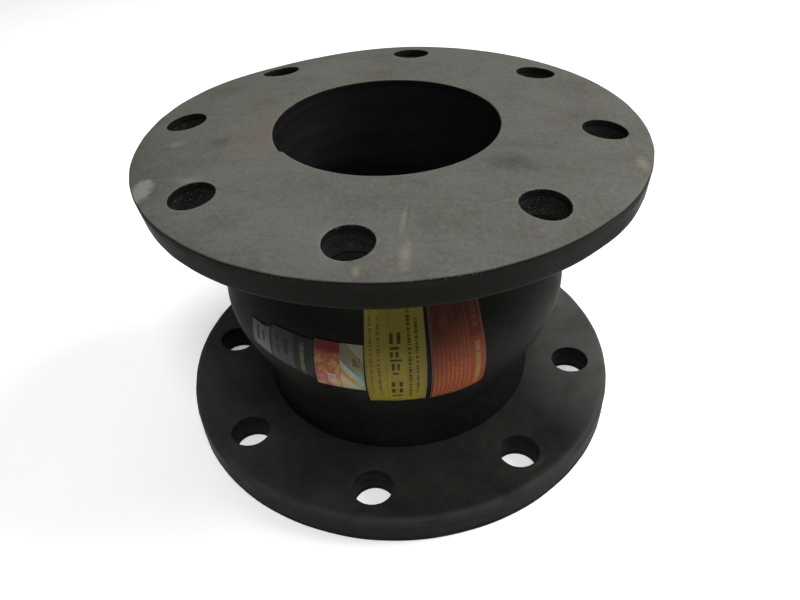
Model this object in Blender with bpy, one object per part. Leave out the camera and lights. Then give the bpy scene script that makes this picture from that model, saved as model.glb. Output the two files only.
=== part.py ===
"""Rubber expansion joint: 4 in bore, 6 in face to face, one wide arch, class 150 drilling.

The tube, the fabric plies and the cover run from flange to flange over the arch. Four steel
rings lie between the plies, one in each neck and one at each foot of the arch. Each end is a
flange built up from a facing, two ply discs and a cover, with eight bolt holes through them all.
The pipe axis is +Z, and the origin is the centre of the lower sealing face.
"""
import math

import bmesh
import bpy
from mathutils import Matrix, Vector

MM = 0.001

# Flanges: the drilling of a 4 in class 150 pipe flange
FACE_TO_FACE = 152.4 * MM
FLANGE_RADIUS = 114.3 * MM
FLANGE_THICKNESS = 14.3 * MM
BORE_RADIUS = 50.8 * MM
BOLT_CIRCLE_RADIUS = 95.25 * MM
BOLT_HOLE_RADIUS = 9.525 * MM
BOLT_HOLES = 8
BACK_EDGE_ROUND = 2.2 * MM

# Body between the flanges
ROOT_RADIUS = 71.4 * MM
CROWN_RADIUS = 85.0 * MM
ARCH_HALF_WIDTH = 47.0 * MM
ARCH_CAVITY_HALF_WIDTH = 40.0 * MM
CROWN_WALL = 15.0 * MM

# Layers, from the bore outwards
GAP = 0.3 * MM
TUBE_THICKNESS = 3.2 * MM
COVER_THICKNESS = 2.4 * MM
INNER_PLIES_SHARE = 0.42
FACING_THICKNESS = 3.2 * MM
FLANGE_PLY_THICKNESS = 3.9 * MM
EDGE_COVER = 2.2 * MM

# Steel body rings, at these heights above and below the middle of the arch
RING_WIRE_RADIUS = 2.4 * MM
NECK_RING_OFFSET = 53.2 * MM
ARCH_RING_OFFSET = 36.2 * MM

# Labels on the arch: angles in degrees from +X, heights above the lower sealing face
LABEL_THICKNESS = 0.5 * MM
LABEL_STAND_OFF = 0.35 * MM
LABELS = {
    "identity_label": (-131.0, -106.3, 69.0 * MM, 90.0 * MM),
    "colour_label": (-105.4, -91.6, 66.4 * MM, 91.0 * MM),
    "yellow_label": (-90.9, -72.9, 56.5 * MM, 111.0 * MM),
    "orange_label": (-71.3, -54.0, 56.5 * MM, 111.0 * MM),
}

# Facets
RIM_SEGMENTS = 48
BODY_SEGMENTS = 36
BODY_STATIONS = 9
HOLE_SEGMENTS = 12
RING_SEGMENTS = 36
WIRE_SEGMENTS = 6
LABEL_STEP_DEGREES = 4.5

MID_HEIGHT = FACE_TO_FACE / 2


def clear_scene():
    for item in list(bpy.data.objects):
        bpy.data.objects.remove(item, do_unlink=True)


# ---------------------------------------------------------------- materials

def make_material(name, color, roughness, metallic=0.0):
    material = bpy.data.materials.new(name)
    material.use_nodes = True
    shader = material.node_tree.nodes["Principled BSDF"]
    shader.inputs["Base Color"].default_value = (*color, 1.0)
    shader.inputs["Roughness"].default_value = roughness
    shader.inputs["Metallic"].default_value = metallic
    return material


# ---------------------------------------------------------------- mesh helpers

def add_object(name, mesh, material):
    item = bpy.data.objects.new(name, mesh)
    bpy.context.scene.collection.objects.link(item)
    mesh.materials.append(material)
    mesh.shade_smooth()
    mesh.set_sharp_from_angle(angle=math.radians(35))
    return item


def turned_mesh(name, profile, segments):
    """Spin a closed (radius, height) profile once round the pipe axis."""
    bm = bmesh.new()
    corners = [bm.verts.new((radius, 0.0, height)) for radius, height in profile]
    edges = [bm.edges.new((corners[i - 1], corners[i])) for i in range(len(corners))]
    bmesh.ops.spin(
        bm, geom=corners + edges, cent=(0, 0, 0), axis=(0, 0, 1),
        angle=2 * math.pi, steps=segments, use_merge=True,
    )
    bmesh.ops.remove_doubles(bm, verts=bm.verts, dist=1e-6)
    bmesh.ops.recalc_face_normals(bm, faces=bm.faces)
    mesh = bpy.data.meshes.new(name)
    bm.to_mesh(mesh)
    bm.free()
    return mesh


def bolt_hole_cutter():
    """One cylinder for each bolt hole, long enough to pass through both flanges."""
    bm = bmesh.new()
    for index in range(BOLT_HOLES):
        angle = 2 * math.pi * index / BOLT_HOLES
        centre = Vector((math.cos(angle), math.sin(angle), 0)) * BOLT_CIRCLE_RADIUS
        centre.z = MID_HEIGHT
        bmesh.ops.create_cone(
            bm, cap_ends=True, segments=HOLE_SEGMENTS, radius1=BOLT_HOLE_RADIUS,
            radius2=BOLT_HOLE_RADIUS, depth=FACE_TO_FACE * 1.2,
            matrix=Matrix.Translation(centre) @ Matrix.Rotation(angle, 4, "Z"),
        )
    mesh = bpy.data.meshes.new("bolt_hole_cutter")
    bm.to_mesh(mesh)
    bm.free()
    cutter = bpy.data.objects.new("bolt_hole_cutter", mesh)
    bpy.context.scene.collection.objects.link(cutter)
    cutter.hide_render = True
    cutter.display_type = "WIRE"
    return cutter


def drill(item, cutter):
    cut = item.modifiers.new("bolt_holes", "BOOLEAN")
    cut.operation = "DIFFERENCE"
    cut.solver = "EXACT"
    cut.object = cutter


def upper(profile):
    """The same profile at the other end of the joint."""
    return [(radius, FACE_TO_FACE - height) for radius, height in profile]


# ---------------------------------------------------------------- flange layers

def facing_profile():
    """The tube's rubber turned out over the sealing face, with its collar down the bore."""
    inner = BORE_RADIUS
    collar = BORE_RADIUS + TUBE_THICKNESS
    return [
        (inner, 0.0), (FLANGE_RADIUS, 0.0), (FLANGE_RADIUS, FACING_THICKNESS),
        (collar, FACING_THICKNESS), (collar, FLANGE_THICKNESS), (inner, FLANGE_THICKNESS),
    ]


def flange_ply_heights(index):
    low = FACING_THICKNESS + GAP + index * (FLANGE_PLY_THICKNESS + GAP)
    return low, low + FLANGE_PLY_THICKNESS


def flange_inner_ply_profile():
    low, high = flange_ply_heights(0)
    inner = BORE_RADIUS + TUBE_THICKNESS + GAP
    outer = FLANGE_RADIUS - EDGE_COVER - GAP
    return [(inner, low), (outer, low), (outer, high), (inner, high)]


def flange_outer_ply_profile():
    """This ply also turns up into the neck, inside the cover."""
    low, high = flange_ply_heights(1)
    inner = BORE_RADIUS + TUBE_THICKNESS + GAP
    outer = FLANGE_RADIUS - EDGE_COVER - GAP
    turn_up = ROOT_RADIUS - COVER_THICKNESS - GAP
    return [
        (inner, low), (outer, low), (outer, high),
        (turn_up, high), (turn_up, FLANGE_THICKNESS), (inner, FLANGE_THICKNESS),
    ]


def flange_cover_profile():
    """Back sheet and rim of the flange, with a rounded back edge."""
    edge_low = FACING_THICKNESS + GAP
    back_low = flange_ply_heights(1)[1] + GAP
    edge_inner = FLANGE_RADIUS - EDGE_COVER
    inner = ROOT_RADIUS - COVER_THICKNESS
    round_low = FLANGE_THICKNESS - BACK_EDGE_ROUND
    slant = BACK_EDGE_ROUND * (1 - math.sqrt(0.5))
    return [
        (edge_inner, edge_low), (FLANGE_RADIUS, edge_low), (FLANGE_RADIUS, round_low),
        (FLANGE_RADIUS - slant, FLANGE_THICKNESS - slant),
        (FLANGE_RADIUS - BACK_EDGE_ROUND, FLANGE_THICKNESS),
        (inner, FLANGE_THICKNESS), (inner, back_low), (edge_inner, back_low),
    ]


def build_flanges(materials, cutter):
    layers = {
        "flange_facing": (facing_profile(), "facing"),
        "flange_inner_ply": (flange_inner_ply_profile(), "ply"),
        "flange_outer_ply": (flange_outer_ply_profile(), "ply"),
        "flange_cover": (flange_cover_profile(), "cover"),
    }
    for layer, (profile, material) in layers.items():
        for end, outline in (("lower", profile), ("upper", upper(profile))):
            name = f"{end}_{layer}"
            mesh = turned_mesh(name, outline, RIM_SEGMENTS)
            drill(add_object(name, mesh, materials[material]), cutter)


# ---------------------------------------------------------------- body layers

def swell(height, half_width):
    """0 outside the arch and 1 at its crown, along a smooth wave."""
    distance = abs(height - MID_HEIGHT)
    if distance >= half_width:
        return 0.0
    return 0.5 * (1 + math.cos(math.pi * distance / half_width))


def outer_radius(height):
    rise = CROWN_RADIUS - ROOT_RADIUS
    return ROOT_RADIUS + rise * swell(height, ARCH_HALF_WIDTH)


def inner_radius(height):
    rise = CROWN_RADIUS - CROWN_WALL - BORE_RADIUS
    return BORE_RADIUS + rise * swell(height, ARCH_CAVITY_HALF_WIDTH)


def ply_seam_radius(height):
    """Where the inner plies end and the outer plies begin."""
    inner = inner_radius(height) + TUBE_THICKNESS + GAP
    outer = outer_radius(height) - COVER_THICKNESS - GAP
    return inner + INNER_PLIES_SHARE * (outer - inner)


def body_heights():
    low = FLANGE_THICKNESS + GAP
    high = FACE_TO_FACE - low
    return [low + (high - low) * i / (BODY_STATIONS - 1) for i in range(BODY_STATIONS)]


def layer_profile(inner, outer):
    """A closed profile between two surfaces given as functions of height."""
    heights = body_heights()
    outside = [(outer(height), height) for height in heights]
    inside = [(inner(height), height) for height in reversed(heights)]
    return outside + inside


def ring_heights():
    offsets = {"neck_ring": NECK_RING_OFFSET, "arch_ring": ARCH_RING_OFFSET}
    heights = {}
    for name, offset in offsets.items():
        heights[f"lower_{name}"] = MID_HEIGHT - offset
        heights[f"upper_{name}"] = MID_HEIGHT + offset
    return heights


def faceted(surface):
    """The same surface as its straight profile facets give it between the stations."""
    heights = body_heights()

    def radius(height):
        for low, high in zip(heights, heights[1:]):
            if low <= height <= high:
                share = (height - low) / (high - low)
                return surface(low) + share * (surface(high) - surface(low))
        return surface(height)

    return radius


def ring_centre_radius(height):
    return faceted(ply_seam_radius)(height) + RING_WIRE_RADIUS + 2 * GAP


def outer_plies_profile():
    """The outer plies, with a square groove round each steel ring."""
    seam = faceted(lambda height: ply_seam_radius(height) + GAP)
    outside = [(outer_radius(h) - COVER_THICKNESS - GAP, h) for h in body_heights()]
    half = RING_WIRE_RADIUS + 1.5 * GAP
    inside = [(seam(height), height) for height in body_heights()]
    for ring_height in ring_heights().values():
        low, high = ring_height - half, ring_height + half
        inside = [point for point in inside if not low <= point[1] <= high]
        depth = ring_centre_radius(ring_height) + half
        inside += [(seam(low), low), (depth, low + MM * 0.01),
                   (depth, high - MM * 0.01), (seam(high), high)]
    inside.sort(key=lambda point: -point[1])
    return outside + inside


def build_body(materials):
    layers = {
        "body_tube": (
            layer_profile(inner_radius, lambda h: inner_radius(h) + TUBE_THICKNESS), "facing"),
        "body_inner_plies": (
            layer_profile(lambda h: inner_radius(h) + TUBE_THICKNESS + GAP, ply_seam_radius), "ply"),
        "body_outer_plies": (outer_plies_profile(), "ply"),
        "body_cover": (
            layer_profile(lambda h: outer_radius(h) - COVER_THICKNESS, outer_radius), "cover"),
    }
    for name, (profile, material) in layers.items():
        add_object(name, turned_mesh(name, profile, BODY_SEGMENTS), materials[material])


def build_rings(materials):
    for name, height in ring_heights().items():
        centre = ring_centre_radius(height)
        profile = []
        for index in range(WIRE_SEGMENTS):
            angle = 2 * math.pi * index / WIRE_SEGMENTS
            profile.append((centre + RING_WIRE_RADIUS * math.cos(angle),
                            height + RING_WIRE_RADIUS * math.sin(angle)))
        add_object(name, turned_mesh(name, profile, RING_SEGMENTS), materials["steel"])


# ---------------------------------------------------------------- labels

def label_mesh(name, start, end, low, high):
    """A thin patch that follows the outside of the arch."""
    columns = max(3, round((end - start) / LABEL_STEP_DEGREES)) + 1
    surface = faceted(outer_radius)
    heights = [low] + [height for height in body_heights() if low < height < high] + [high]
    bm = bmesh.new()
    for lift in (LABEL_STAND_OFF, LABEL_STAND_OFF + LABEL_THICKNESS):
        sheet = []
        for height in heights:
            radius = surface(height) + lift
            for column in range(columns):
                angle = math.radians(start + (end - start) * column / (columns - 1))
                place = (radius * math.cos(angle), radius * math.sin(angle), height)
                sheet.append(bm.verts.new(place))
        for row in range(len(heights) - 1):
            for column in range(columns - 1):
                first = row * columns + column
                corners = (first, first + 1, first + columns + 1, first + columns)
                bm.faces.new([sheet[corner] for corner in corners])
    rim = [edge for edge in bm.edges if len(edge.link_faces) == 1]
    bmesh.ops.bridge_loops(bm, edges=rim)
    bmesh.ops.recalc_face_normals(bm, faces=bm.faces)
    mesh = bpy.data.meshes.new(name)
    bm.to_mesh(mesh)
    bm.free()
    return mesh


def build_labels(materials):
    for name, (start, end, low, high) in LABELS.items():
        add_object(name, label_mesh(name, start, end, low, high), materials[name])


def main():
    clear_scene()
    materials = {
        "facing": make_material("dusty_rubber", (0.30, 0.29, 0.28), 0.8),
        "cover": make_material("black_rubber", (0.035, 0.035, 0.037), 0.55),
        "ply": make_material("rubbered_fabric", (0.11, 0.10, 0.09), 0.85),
        "steel": make_material("ring_steel", (0.45, 0.45, 0.46), 0.4, metallic=1.0),
        "identity_label": make_material("grey_label", (0.38, 0.39, 0.38), 0.5),
        "colour_label": make_material("red_label", (0.75, 0.28, 0.24), 0.5),
        "yellow_label": make_material("yellow_label", (0.86, 0.70, 0.10), 0.5),
        "orange_label": make_material("orange_label", (0.85, 0.30, 0.08), 0.5),
    }
    cutter = bolt_hole_cutter()
    build_flanges(materials, cutter)
    build_body(materials)
    build_rings(materials)
    build_labels(materials)


main()
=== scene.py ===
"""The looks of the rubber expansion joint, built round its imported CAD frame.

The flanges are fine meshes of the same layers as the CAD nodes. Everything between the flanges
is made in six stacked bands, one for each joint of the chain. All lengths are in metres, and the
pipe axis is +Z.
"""
import math

import bmesh
import bpy
import numpy as np
from mathutils import Matrix, Vector


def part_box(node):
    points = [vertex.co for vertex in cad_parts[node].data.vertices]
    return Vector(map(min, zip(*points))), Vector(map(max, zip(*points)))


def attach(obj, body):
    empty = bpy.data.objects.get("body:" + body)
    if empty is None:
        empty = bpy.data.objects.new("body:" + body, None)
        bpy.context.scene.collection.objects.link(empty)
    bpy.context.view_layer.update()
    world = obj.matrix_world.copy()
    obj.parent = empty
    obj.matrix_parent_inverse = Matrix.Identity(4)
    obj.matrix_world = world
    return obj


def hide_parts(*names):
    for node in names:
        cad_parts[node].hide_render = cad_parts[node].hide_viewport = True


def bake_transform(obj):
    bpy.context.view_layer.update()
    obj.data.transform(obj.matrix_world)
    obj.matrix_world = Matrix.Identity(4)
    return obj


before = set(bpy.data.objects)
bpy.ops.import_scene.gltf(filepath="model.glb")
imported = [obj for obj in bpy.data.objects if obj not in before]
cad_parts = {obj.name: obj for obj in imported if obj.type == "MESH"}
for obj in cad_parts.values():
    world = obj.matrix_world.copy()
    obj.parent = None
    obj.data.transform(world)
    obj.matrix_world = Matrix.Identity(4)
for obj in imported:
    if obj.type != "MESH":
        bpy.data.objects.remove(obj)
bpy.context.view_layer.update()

MM = 0.001

# ---------------------------------------------------------------- sizes, from the frame or as in it

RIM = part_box("lower_flange_facing")[1].x
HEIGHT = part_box("upper_flange_facing")[1].z
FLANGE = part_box("lower_flange_facing")[1].z
MIDDLE = HEIGHT / 2
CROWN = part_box("body_cover")[1].x
PLY_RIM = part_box("lower_flange_inner_ply")[1].x
PLY_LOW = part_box("lower_flange_inner_ply")[0].z
PLY_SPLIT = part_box("lower_flange_inner_ply")[1].z

BORE = 50.8 * MM
BOLT_CIRCLE = 95.25 * MM
BOLT_HOLE = 9.525 * MM
BOLT_HOLES = 8
HOLE_SIDE = BOLT_CIRCLE * math.cos(math.pi / 4)
SECTORS_LOW = BOLT_CIRCLE - 14.2 * MM
SECTORS_HIGH = BOLT_CIRCLE + 13.4 * MM
ROOT = 71.4 * MM
ARCH_HALF_WIDTH = 47.0 * MM
CAVITY_HALF_WIDTH = 40.0 * MM
CROWN_WALL = 15.0 * MM
TUBE = 3.2 * MM
COVER = 2.4 * MM
BACK_SHEET = 2.8 * MM
PLY_SHARE = 0.42
HAIR = 0.05 * MM
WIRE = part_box("lower_neck_ring")[1].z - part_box("lower_neck_ring")[0].z
WIRE_RADIUS = WIRE / math.sqrt(3)

# Bands of the flexible body, from the lower flange to the upper one: the two bodies of each
# joint, and the height where its band ends
BANDS = [
    ("lower_flange", "lower_neck", 38.0 * MM),
    ("lower_neck", "lower_arch_foot", 62.0 * MM),
    ("lower_arch_foot", "arch", 91.2 * MM),
    ("arch", "upper_arch_foot", 111.0 * MM),
    ("upper_arch_foot", "upper_neck", 132.6 * MM),
    ("upper_neck", "upper_flange", HEIGHT - FLANGE - HAIR),
]
BAND_START = FLANGE + HAIR

# Faint grooves of the cure wrap: their pitch, half width as a share of it, and depth
WRAP_PITCH = 19 * MM
WRAP_WIDTH = 0.045
WRAP_DEPTH = 0.12 * MM

# Fineness of the meshes, and the edge distance of points with no edge near them
AROUND = 192
SECTOR_SIDE = AROUND // BOLT_HOLES
ROW = 1.6 * MM
WEB_ROWS, HOLE_ROWS, RIM_ROWS, FACE_ROWS, BORE_ROWS = 7, 6, 5, 14, 8
WIRE_SIDES = 20
LABEL_COLUMNS = 40
FAR = 50 * MM
FLOOR_SIDE = 6.0


# ---------------------------------------------------------------- mesh helpers

def new_piece(name, points, faces, body, material, replaces=(), place=None,
              attributes=None, sharp=40):
    """A mesh object that rides a body, or with body None is left unattached.
    place is each point's spot in the textures. Edges sharper than the angle stay crisp."""
    mesh = bpy.data.meshes.new(name)
    mesh.from_pydata([tuple(p) for p in points], [], [tuple(f) for f in faces])
    mesh.update()
    rest = mesh.attributes.new("place", "FLOAT_VECTOR", "POINT")
    spots = np.asarray(points if place is None else place, np.float32)
    rest.data.foreach_set("vector", spots.ravel())
    for key, values in (attributes or {}).items():
        layer = mesh.attributes.new(key, "FLOAT", "POINT")
        layer.data.foreach_set("value", np.asarray(values, np.float32))
    piece = bpy.data.objects.new(name, mesh)
    bpy.context.scene.collection.objects.link(piece)
    mesh.shade_smooth()
    if body:
        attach(piece, body)
    for node in replaces:
        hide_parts(node)
    mesh.materials.append(material)
    turn_outward(mesh)
    mesh.set_sharp_from_angle(angle=math.radians(sharp))
    return piece


def turn_outward(mesh):
    """Make the faces of closed shells all look outward."""
    bm = bmesh.new()
    bm.from_mesh(mesh)
    bmesh.ops.recalc_face_normals(bm, faces=bm.faces)
    bm.to_mesh(mesh)
    bm.free()


def loft(rings, closed=False):
    """Quads between rings of equal length, each ring a closed loop of points."""
    rings = np.asarray(rings, float)
    count, around = rings.shape[:2]
    faces = []
    for k in range(count if closed else count - 1):
        after = (k + 1) % count
        for i in range(around):
            j = (i + 1) % around
            faces.append((k * around + i, k * around + j, after * around + j, after * around + i))
    return rings.reshape(-1, 3), faces


def join(parts):
    """Several (points, faces) as one."""
    points, faces, start = [], [], 0
    for some_points, some_faces in parts:
        points.append(some_points)
        faces += [tuple(corner + start for corner in face) for face in some_faces]
        start += len(some_points)
    return np.concatenate(points), faces


def weld(points, faces, distance=1e-6):
    """Merge points that share a place, keeping the faces."""
    keys = {}
    index = []
    kept = []
    for point in np.round(points / distance).astype(np.int64):
        key = tuple(point)
        if key not in keys:
            keys[key] = len(kept)
            kept.append(len(index))
        index.append(keys[key])
    welded = [tuple(index[corner] for corner in face) for face in faces]
    return points[kept], welded


def circle(radius, height, phase=0.0):
    """A level ring of points. radius is one number or one for each point."""
    angle = phase + 2 * math.pi * np.arange(AROUND) / AROUND
    return np.stack([radius * np.cos(angle), radius * np.sin(angle),
                     np.full(AROUND, height)], axis=1)


def smooth_noise(points, scale, seed):
    """A repeatable sum of sine waves, from -1 to 1, for gentle unevenness."""
    source = np.random.default_rng(seed)
    total = np.zeros(len(points))
    for octave in range(4):
        direction = source.normal(size=3)
        direction /= np.linalg.norm(direction)
        turn = source.uniform(0, 2 * math.pi)
        wave = scale / (1 + 0.7 * octave)
        total += np.sin(points @ direction * 2 * math.pi / wave + turn)
    return total / 4


# ---------------------------------------------------------------- flanges

def rounded(edge, steps=4):
    """(inset, drop) pairs round a quarter circle, from the wall to the flat."""
    turns = [math.pi / 2 * k / steps for k in range(steps + 1)]
    return [(edge * (1 - math.cos(a)), edge * (1 - math.sin(a))) for a in turns]


def edge_rings(make_ring, low, high, low_edge, high_edge, wall_rows):
    """Rings from the low flat, round its edge, up the wall and round the high edge."""
    rings = [make_ring(inset, low + drop) for inset, drop in reversed(rounded(low_edge))]
    wall_low, wall_high = low + low_edge, high - high_edge
    for row in range(1, wall_rows):
        rings.append(make_ring(0.0, wall_low + (wall_high - wall_low) * row / wall_rows))
    rings += [make_ring(inset, high - drop) for inset, drop in rounded(high_edge)]
    return rings


def sector_border(middle):
    """Points round one bolt hole's sector: inner arc, side, outer arc, side."""
    half = math.pi / BOLT_HOLES
    width = SECTORS_HIGH - SECTORS_LOW
    steps = np.arange(SECTOR_SIDE) / SECTOR_SIDE
    level = np.ones(SECTOR_SIDE)
    angle = middle + half * np.concatenate([2 * steps - 1, level, 1 - 2 * steps, -level])
    radius = SECTORS_LOW + width * np.concatenate([0 * level, steps, level, 1 - steps])
    return np.stack([radius * np.cos(angle), radius * np.sin(angle)], axis=1)


def sector(index, low, high, edge):
    """The two flats round one bolt hole, and the hole's wall."""
    middle = 2 * math.pi * index / BOLT_HOLES
    centre = BOLT_CIRCLE * np.array([math.cos(middle), math.sin(middle)])
    border = sector_border(middle)
    away = border - centre
    away /= np.linalg.norm(away, axis=1)[:, None]

    def ring(inset, height):
        flat = centre + away * (BOLT_HOLE + inset)
        return np.column_stack([flat, np.full(len(flat), height)])

    def web(height, shares):
        start = centre + away * (BOLT_HOLE + edge)
        return [np.column_stack([start + (border - start) * share,
                                 np.full(len(border), height)]) for share in shares]

    shares = (np.arange(1, WEB_ROWS + 1) / WEB_ROWS) ** 1.4
    rings = web(low, shares[::-1])
    rings += edge_rings(ring, low, high, edge, edge, HOLE_ROWS)
    rings += web(high, shares)
    return loft(rings)


def flange_layer(low, high, inner, outer, edge, rim_edges, bore_edges=None):
    """One drilled disc: (points, faces). edge rounds the bolt holes."""
    bore_edges = bore_edges or (edge, edge)
    parts = [sector(index, low, high, edge) for index in range(BOLT_HOLES)]
    phase = -math.pi / BOLT_HOLES

    def rim_ring(inset, height):
        return circle(outer - inset, height, phase)

    def bore_ring(inset, height):
        return circle(inner + inset, height, phase)

    rim = [circle(SECTORS_HIGH, low, phase)]
    rim += edge_rings(rim_ring, low, high, *rim_edges, RIM_ROWS)
    rim.append(circle(SECTORS_HIGH, high, phase))
    parts.append(loft(rim))

    spread = np.linspace(SECTORS_LOW, inner + bore_edges[0], FACE_ROWS)[:-1]
    inside = [circle(radius, low, phase) for radius in spread]
    inside += edge_rings(bore_ring, low, high, *bore_edges, BORE_ROWS)
    inside += [circle(radius, high, phase) for radius in spread[::-1]]
    parts.append(loft(inside[::-1]))
    return weld(*join(parts))


def hole_distance(points):
    """How far each point is from the nearest bolt hole's wall, measured in plan."""
    turn = 2 * math.pi / BOLT_HOLES
    angle = np.arctan2(points[:, 1], points[:, 0])
    angle = (angle + turn / 2) % turn - turn / 2
    radius = np.hypot(points[:, 0], points[:, 1])
    across = np.hypot(radius * np.cos(angle) - BOLT_CIRCLE, radius * np.sin(angle))
    return np.abs(across - BOLT_HOLE)


def edge_distance(points, face, bore):
    """How far each point is from the nearest edge of the flat at the height face: the edge of
    a bolt hole, of the rim or, with bore, of the bore."""
    radius = np.hypot(points[:, 0], points[:, 1])
    near = np.minimum(hole_distance(points), np.abs(RIM - radius))
    if bore:
        near = np.minimum(near, np.abs(radius - BORE))
    return np.hypot(near, points[:, 2] - face)


def lobe(angle, middle, narrowness):
    """1 at the angle middle, falling smoothly towards 0 on both sides of it."""
    return np.exp(narrowness * (np.cos(angle - middle) - 1))


def dip(reach, angle):
    """How far the upper flange hangs down, from bore (0) to rim (1): a little everywhere, more
    at the back left, at the front and at the left rim, and less round the front right hole."""
    fall = 3.9 * reach ** 2.6 + 0.15 * (1 + np.sin(2 * angle + 0.6)) * reach ** 2
    back_left = np.exp(-((angle - math.radians(128)) / 0.45) ** 2)
    fall += 2.1 * back_left * np.clip((reach - 0.45) / 0.55, 0, 1) ** 1.6
    front = 0.75 * (0.5 - 0.5 * np.sin(angle)) ** 0.6
    fall += (front + 0.9 * lobe(angle, -2.85, 6)) * reach ** 5
    hole = ((angle + 0.785) / 0.35) ** 2 + ((reach - 0.70) / 0.25) ** 2
    return (fall - 1.5 * np.exp(-hole)) * MM


def lift(reach, angle):
    """How far the lower flange curls up from the floor, at its left and at its far right."""
    height = 2.6 * lobe(angle, 2.95, 5) + 1.6 * lobe(angle, 0.75, 5)
    return height * np.clip((reach - 0.33) / 0.67, 0, 1) ** 1.2 * MM


def sag(points, top):
    """Rubber that isn't bolted up is never quite true. Both rims are uneven and a little off
    centre. The upper flange bends down towards its rim, which leans in, and the lower one curls
    up in two places. The upper bore's edge is worn."""
    radius = np.hypot(points[:, 0], points[:, 1])
    angle = np.arctan2(points[:, 1], points[:, 0])
    reach = np.clip((radius - BORE) / (RIM - BORE), 0, 1)
    moved = points.copy()
    seed = 5 if top else 9
    shift = 0.20 * MM * smooth_noise(points * [1, 1, 0], 46 * MM, seed) * reach
    if top:
        lean = 0.16 * reach ** 1.6 * np.clip((reach - 0.34) / 0.40, 0, 1)
        lean *= 1 - 0.6 * lobe(angle, -0.1, 6)
        moved[:, 2] -= dip(reach, angle)
        shift -= lean * (HEIGHT - points[:, 2])
        shift += chip(radius, angle, points[:, 2])
        shift += (0.4 + 1.2 * np.cos(angle + 0.15)) * MM * reach ** 3
    else:
        moved[:, 2] += lift(reach, angle)
        shift += (0.6 + 0.7 * np.sin(angle) + 0.4 * np.cos(angle)) * MM * reach ** 3
    stretch = 1 + shift / np.maximum(radius, BORE)
    moved[:, 0] *= stretch
    moved[:, 1] *= stretch
    return moved


def chip(radius, angle, height):
    """How far the bore's edge is worn outwards, up to a torn step."""
    depth, width, most = 7 * MM, 6 * MM, 1.5 * MM
    start, step = math.radians(-178), math.radians(-141.5)
    share = np.clip((angle - start) / (step - start), 0, 1)
    share = np.where(angle > step, 0.0, share)
    near = np.clip(1 - (radius - BORE) / width, 0, 1) ** 2
    upper = np.clip((height - (HEIGHT - depth)) / depth, 0, 1)
    return most * share ** 1.5 * near * upper


def build_flange(end, materials):
    """The layers of one flange. Heights run from its sealing face (0) to its back (FLANGE)."""
    top = end == "upper"
    body = f"{end}_flange"

    def place(low, high):
        return (HEIGHT - high, HEIGHT - low) if top else (low, high)

    ply_bore = BORE + TUBE + HAIR
    ply_edges = (0.1 * MM, 0.1 * MM)
    layers = {
        "facing": (0.0, PLY_LOW - HAIR, BORE, RIM, 0.5 * MM, (0.9 * MM, HAIR),
                   (0.7 * MM, HAIR), "facing_rubber", "facing"),
        "inner_ply": (PLY_LOW, PLY_SPLIT, ply_bore, PLY_RIM, 0.15 * MM, ply_edges,
                      None, "rubbered_fabric", "ply"),
        "outer_ply": (PLY_SPLIT + 2 * HAIR, FLANGE - BACK_SHEET - 2 * HAIR, ply_bore, PLY_RIM,
                      0.15 * MM, ply_edges, None, "rubbered_fabric", "ply"),
    }
    for layer, spec in layers.items():
        low, high, inner, outer, edge, rim_edges, bore_edges, slot, material = spec
        if top:
            rim_edges = rim_edges[::-1]
            bore_edges = bore_edges[::-1] if bore_edges else None
        points, faces = flange_layer(*place(low, high), inner, outer, edge, rim_edges, bore_edges)
        finish_flange_layer(f"{end}_{layer}_skin", points, faces, top, body,
                            f"{end}_flange_{layer}", materials[material])
    build_flange_cover(end, place, top, body, materials["cover"])
    build_collar(end, place, top, body, materials["tube"])


def finish_flange_layer(name, points, faces, top, body, node, material):
    """The piece itself, bent as the flange is, with each point's distance from the edges that show,
    for their wear and, on the cover, their painted highlight.
    """
    is_facing = "facing" in name
    face = 0.0 if is_facing else FLANGE
    attributes = {"edge": edge_distance(points, HEIGHT - face if top else face, is_facing)}
    new_piece(name, sag(points, top), faces, body, material, (node,), points, attributes)


def build_flange_cover(end, place, top, body, material):
    """The back sheet, and the lip that covers the plies at the rim."""
    back_low = FLANGE - BACK_SHEET
    hole_edge, back_edge = 0.6 * MM, 2.7 * MM
    low, high = place(back_low, FLANGE)
    rim_edges = (back_edge, HAIR) if top else (HAIR, back_edge)
    points, faces = flange_layer(low, high, ROOT - COVER, RIM, hole_edge, rim_edges, (HAIR, HAIR))
    finish_flange_layer(f"{end}_cover_skin", points, faces, top, body,
                        f"{end}_flange_cover", material)
    points, faces = sleeve(RIM, PLY_RIM + HAIR, *place(PLY_LOW, back_low), HOLE_ROWS)
    attributes = {"edge": edge_distance(points, HEIGHT - FLANGE if top else FLANGE, False)}
    new_piece(f"{end}_cover_lip", sag(points, top), faces, body, material, (),
              points, attributes)


def build_collar(end, place, top, body, material):
    """The tube's collar through the flange, down to the flexible body."""
    points, faces = sleeve(BORE, BORE + TUBE, *place(PLY_LOW - HAIR, FLANGE), BORE_ROWS)
    attributes = {"edge": np.full(len(points), FAR)}
    new_piece(f"{end}_collar", sag(points, top), faces, body, material, (),
              points, attributes)


def sleeve(one_side, other_side, low, high, rows):
    """A short closed pipe between two radii: (points, faces)."""
    heights = np.linspace(low, high, rows + 1)
    rings = [circle(one_side, height) for height in heights]
    rings += [circle(other_side, height) for height in heights[::-1]]
    return loft(rings, closed=True)


# ---------------------------------------------------------------- flexible body

def swell(height, half_width):
    """1 at the middle of the joint, falling smoothly to 0 at half_width from it."""
    distance = np.minimum(np.abs(height - MIDDLE) / half_width, 1.0)
    return 0.5 * (1 + np.cos(math.pi * distance))


def cover_radius(height):
    return ROOT + (CROWN - ROOT) * swell(height, ARCH_HALF_WIDTH)


def bore_radius(height):
    return BORE + (CROWN - CROWN_WALL - BORE) * swell(height, CAVITY_HALF_WIDTH)


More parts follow.
